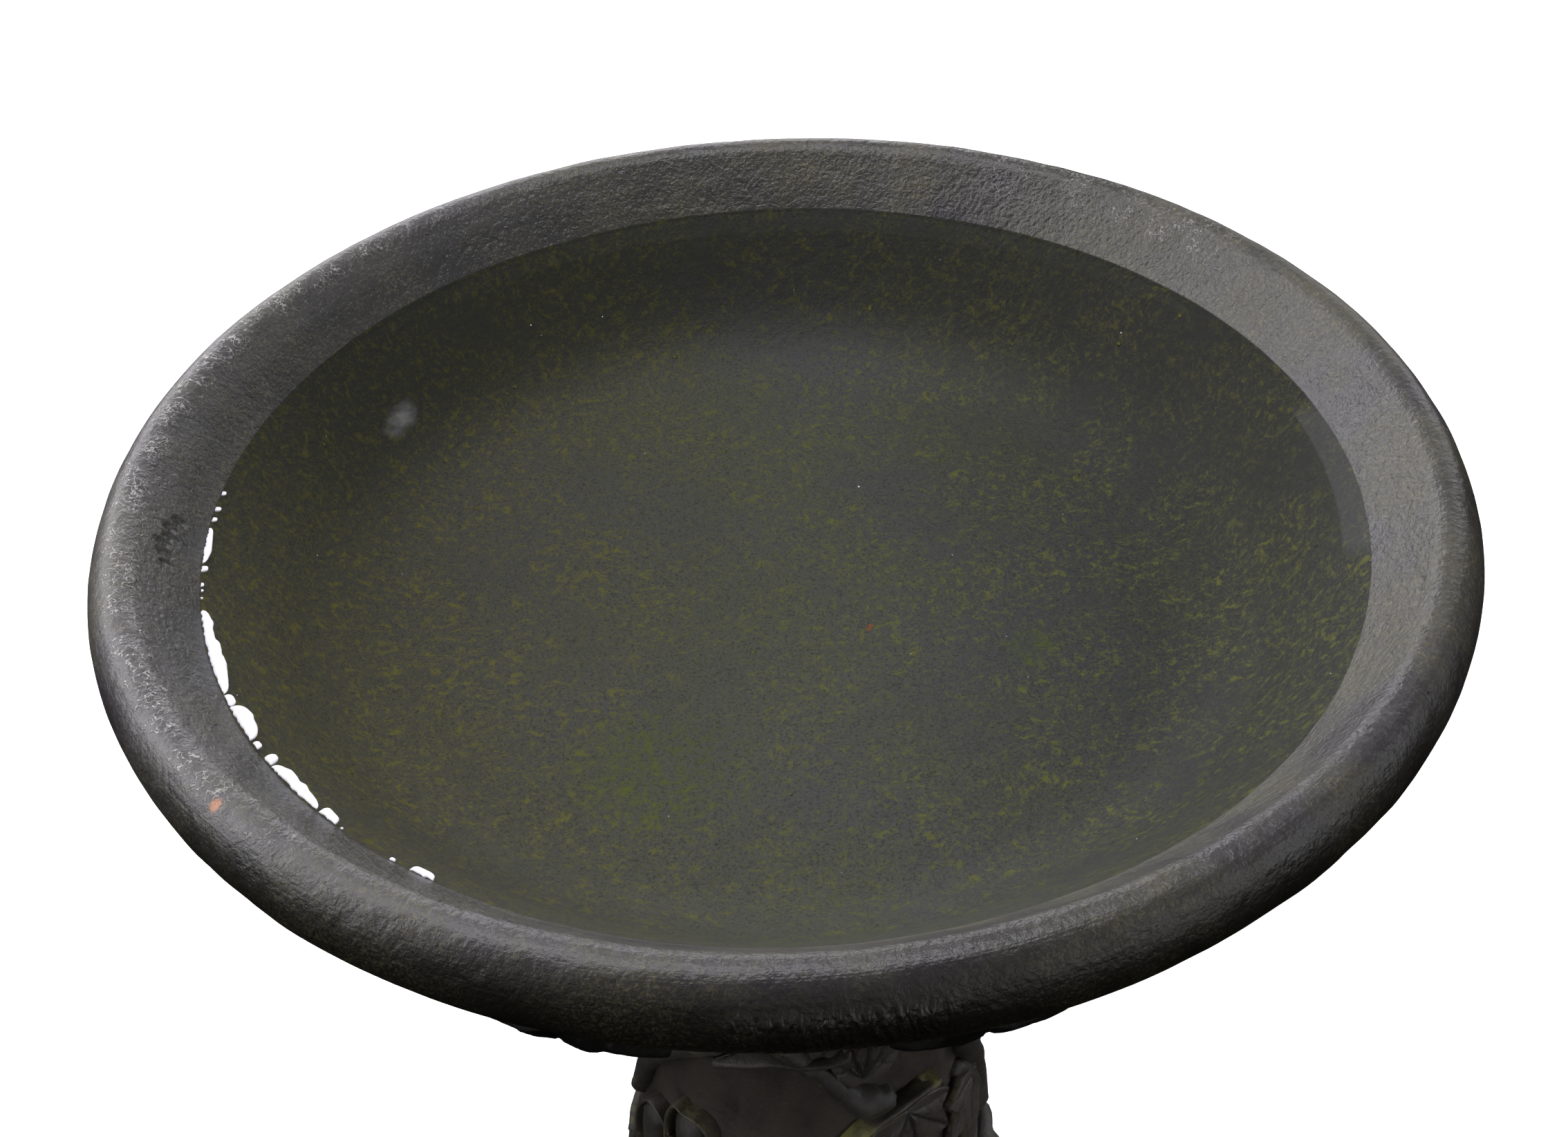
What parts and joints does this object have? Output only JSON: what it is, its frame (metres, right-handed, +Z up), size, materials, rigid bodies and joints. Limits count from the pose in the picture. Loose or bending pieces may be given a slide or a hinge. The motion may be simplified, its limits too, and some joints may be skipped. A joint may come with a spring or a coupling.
{
  "type": "bird bath",
  "caption": "Garden bird bath: a round cast stone basin with a rolled rim that lifts off and turns on a flared column with climbing vines in relief.",
  "frame": {"origin": "ground level at the middle of the foot", "axes": "+Z up along the column, +X to the right, -Y towards the front"},
  "size_m": [0.508, 0.5079, 0.608],
  "materials": {
    "basin_stone": "sealed cast stone, rubbed grey with worn olive patches",
    "column_stone": "sealed cast stone, olive drybrushed high points",
    "seat_rubber": "matte",
    "steel": "mill finish, cast in"
  },
  "bodies": {
    "pedestal": {"pedestal": "column_stone", "column_cage": "steel"},
    "seat": {"seat_ring": "seat_rubber"},
    "bowl": {"basin": "basin_stone", "rim_hoop": "steel"}
  },
  "joints": [
    {"name": "bowl_turn", "type": "hinge", "parent": "pedestal", "child": "seat", "pos_m": [0, 0, 0.487], "axis": [0, 0, 1], "continuous": true},
    {"name": "bowl_lift", "type": "slide", "parent": "seat", "child": "bowl", "axis": [0, 0, 1], "range_m": [0, 0.12]}
  ]
}
